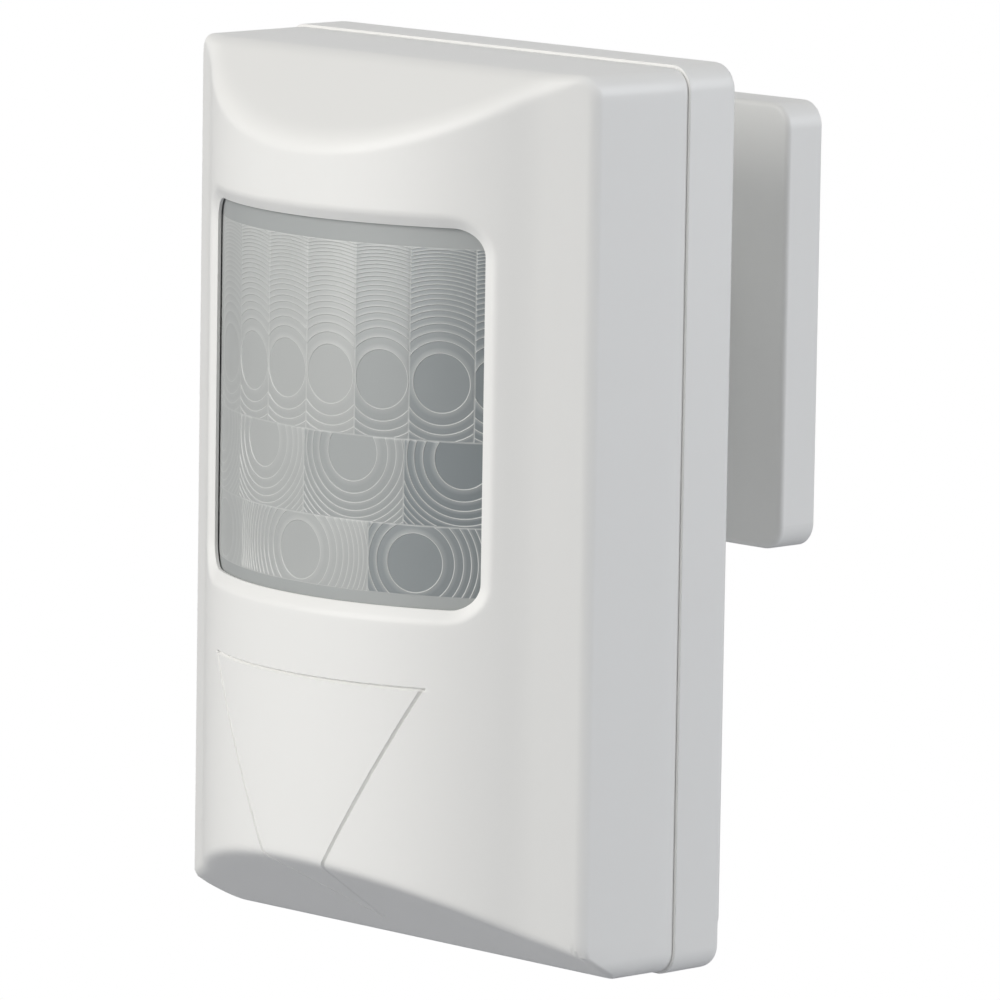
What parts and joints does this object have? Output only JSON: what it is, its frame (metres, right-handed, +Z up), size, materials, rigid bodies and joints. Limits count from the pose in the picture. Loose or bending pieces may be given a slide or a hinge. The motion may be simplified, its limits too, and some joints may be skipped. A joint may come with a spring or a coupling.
{
  "type": "passive infrared motion sensor",
  "caption": "Wall-mounted infrared motion sensor: bulged front cover with a faceted lens, circuit inside, on a ball-jointed bracket.",
  "frame": {"origin": "centre of the wall bracket's back face, on the wall plane", "axes": "+Z up; the sensor looks along -Y; +X is on the right of someone who faces the sensor's front; the wall is the plane Y = 0"},
  "size_m": [0.0626, 0.0558, 0.0976],
  "materials": {
    "cover_plastic": "satin moulded ABS",
    "bracket_plastic": "satin moulded ABS",
    "lens_film": "milky translucent polyethylene",
    "frame_plastic": "moulded",
    "board": "solder resist",
    "steel": "zinc plated",
    "sensor_metal": "nickel plated",
    "filter_glass": "coated silicon",
    "ceramic": "fired",
    "shroud_plastic": "black moulded",
    "terminal_plastic": "blue moulded",
    "black_plastic": "black moulded",
    "button_plastic": "ivory moulded",
    "trimmer_blue": "blue moulded",
    "relay_case": "white moulded",
    "capacitor_sleeve": "shrink sleeve",
    "led_lens": "red tinted",
    "liner_nylon": "nylon"
  },
  "bodies": {
    "bracket": {"wall_bracket": "bracket_plastic", "ball_stud": "bracket_plastic", "stud_screw": "steel"},
    "swivel": {"socket_liner": "liner_nylon"},
    "head": {"rear_cover": "cover_plastic", "socket_housing": "cover_plastic", "socket_cap": "cover_plastic", "socket_screws": "steel", "circuit_board": "board", "board_screws": "steel", "sensor_header": "sensor_metal", "sensor_can": "sensor_metal", "sensor_filter": "filter_glass", "sensor_element": "ceramic", "sensor_leads": "steel", "sensor_shroud": "shroud_plastic", "terminal_block": "terminal_plastic", "terminal_screws": "steel", "tamper_switch": "black_plastic", "tamper_spring": "steel", "sensitivity_trimmer": "trimmer_blue", "alarm_relay": "relay_case", "filter_capacitors": "capacitor_sleeve", "amplifier_chip": "black_plastic", "control_chip": "black_plastic", "chip_resistors": "black_plastic", "ceramic_capacitors": "ceramic", "status_led": "led_lens", "jumper_pins": "steel", "jumper_caps": "black_plastic"},
    "cover": {"front_cover": "cover_plastic", "fresnel_lens": "lens_film", "lens_retainer": "frame_plastic"},
    "plunger": {"tamper_plunger": "button_plastic"},
    "rotor": {"trimmer_rotor": "button_plastic"}
  },
  "joints": [
    {"name": "pan", "type": "hinge", "parent": "bracket", "child": "swivel", "pos_m": [0, -0.0132, 0], "axis": [0, 0, 1], "range_deg": [-20, 20]},
    {"name": "tilt", "type": "hinge", "parent": "swivel", "child": "head", "pos_m": [0, -0.0132, 0], "axis": [1, 0, 0], "range_deg": [-15, 15]},
    {"name": "cover_open", "type": "hinge", "parent": "head", "child": "cover", "pos_m": [0, -0.0287, 0.0301], "axis": [-1, 0, 0], "range_deg": [0, 60]},
    {"name": "tamper_press", "type": "slide", "parent": "head", "child": "plunger", "axis": [0, -1, 0], "range_m": [0, 0.0015], "deforming": ["tamper_spring"]},
    {"name": "sensitivity_turn", "type": "hinge", "parent": "head", "child": "rotor", "pos_m": [-0.0216, -0.0334, -0.0377], "axis": [0, -1, 0], "range_deg": [-135, 135]}
  ],
  "couplings": [
    {"joint": "tamper_press", "follows": "cover_open", "m_per_rad": 0.00143}
  ]
}
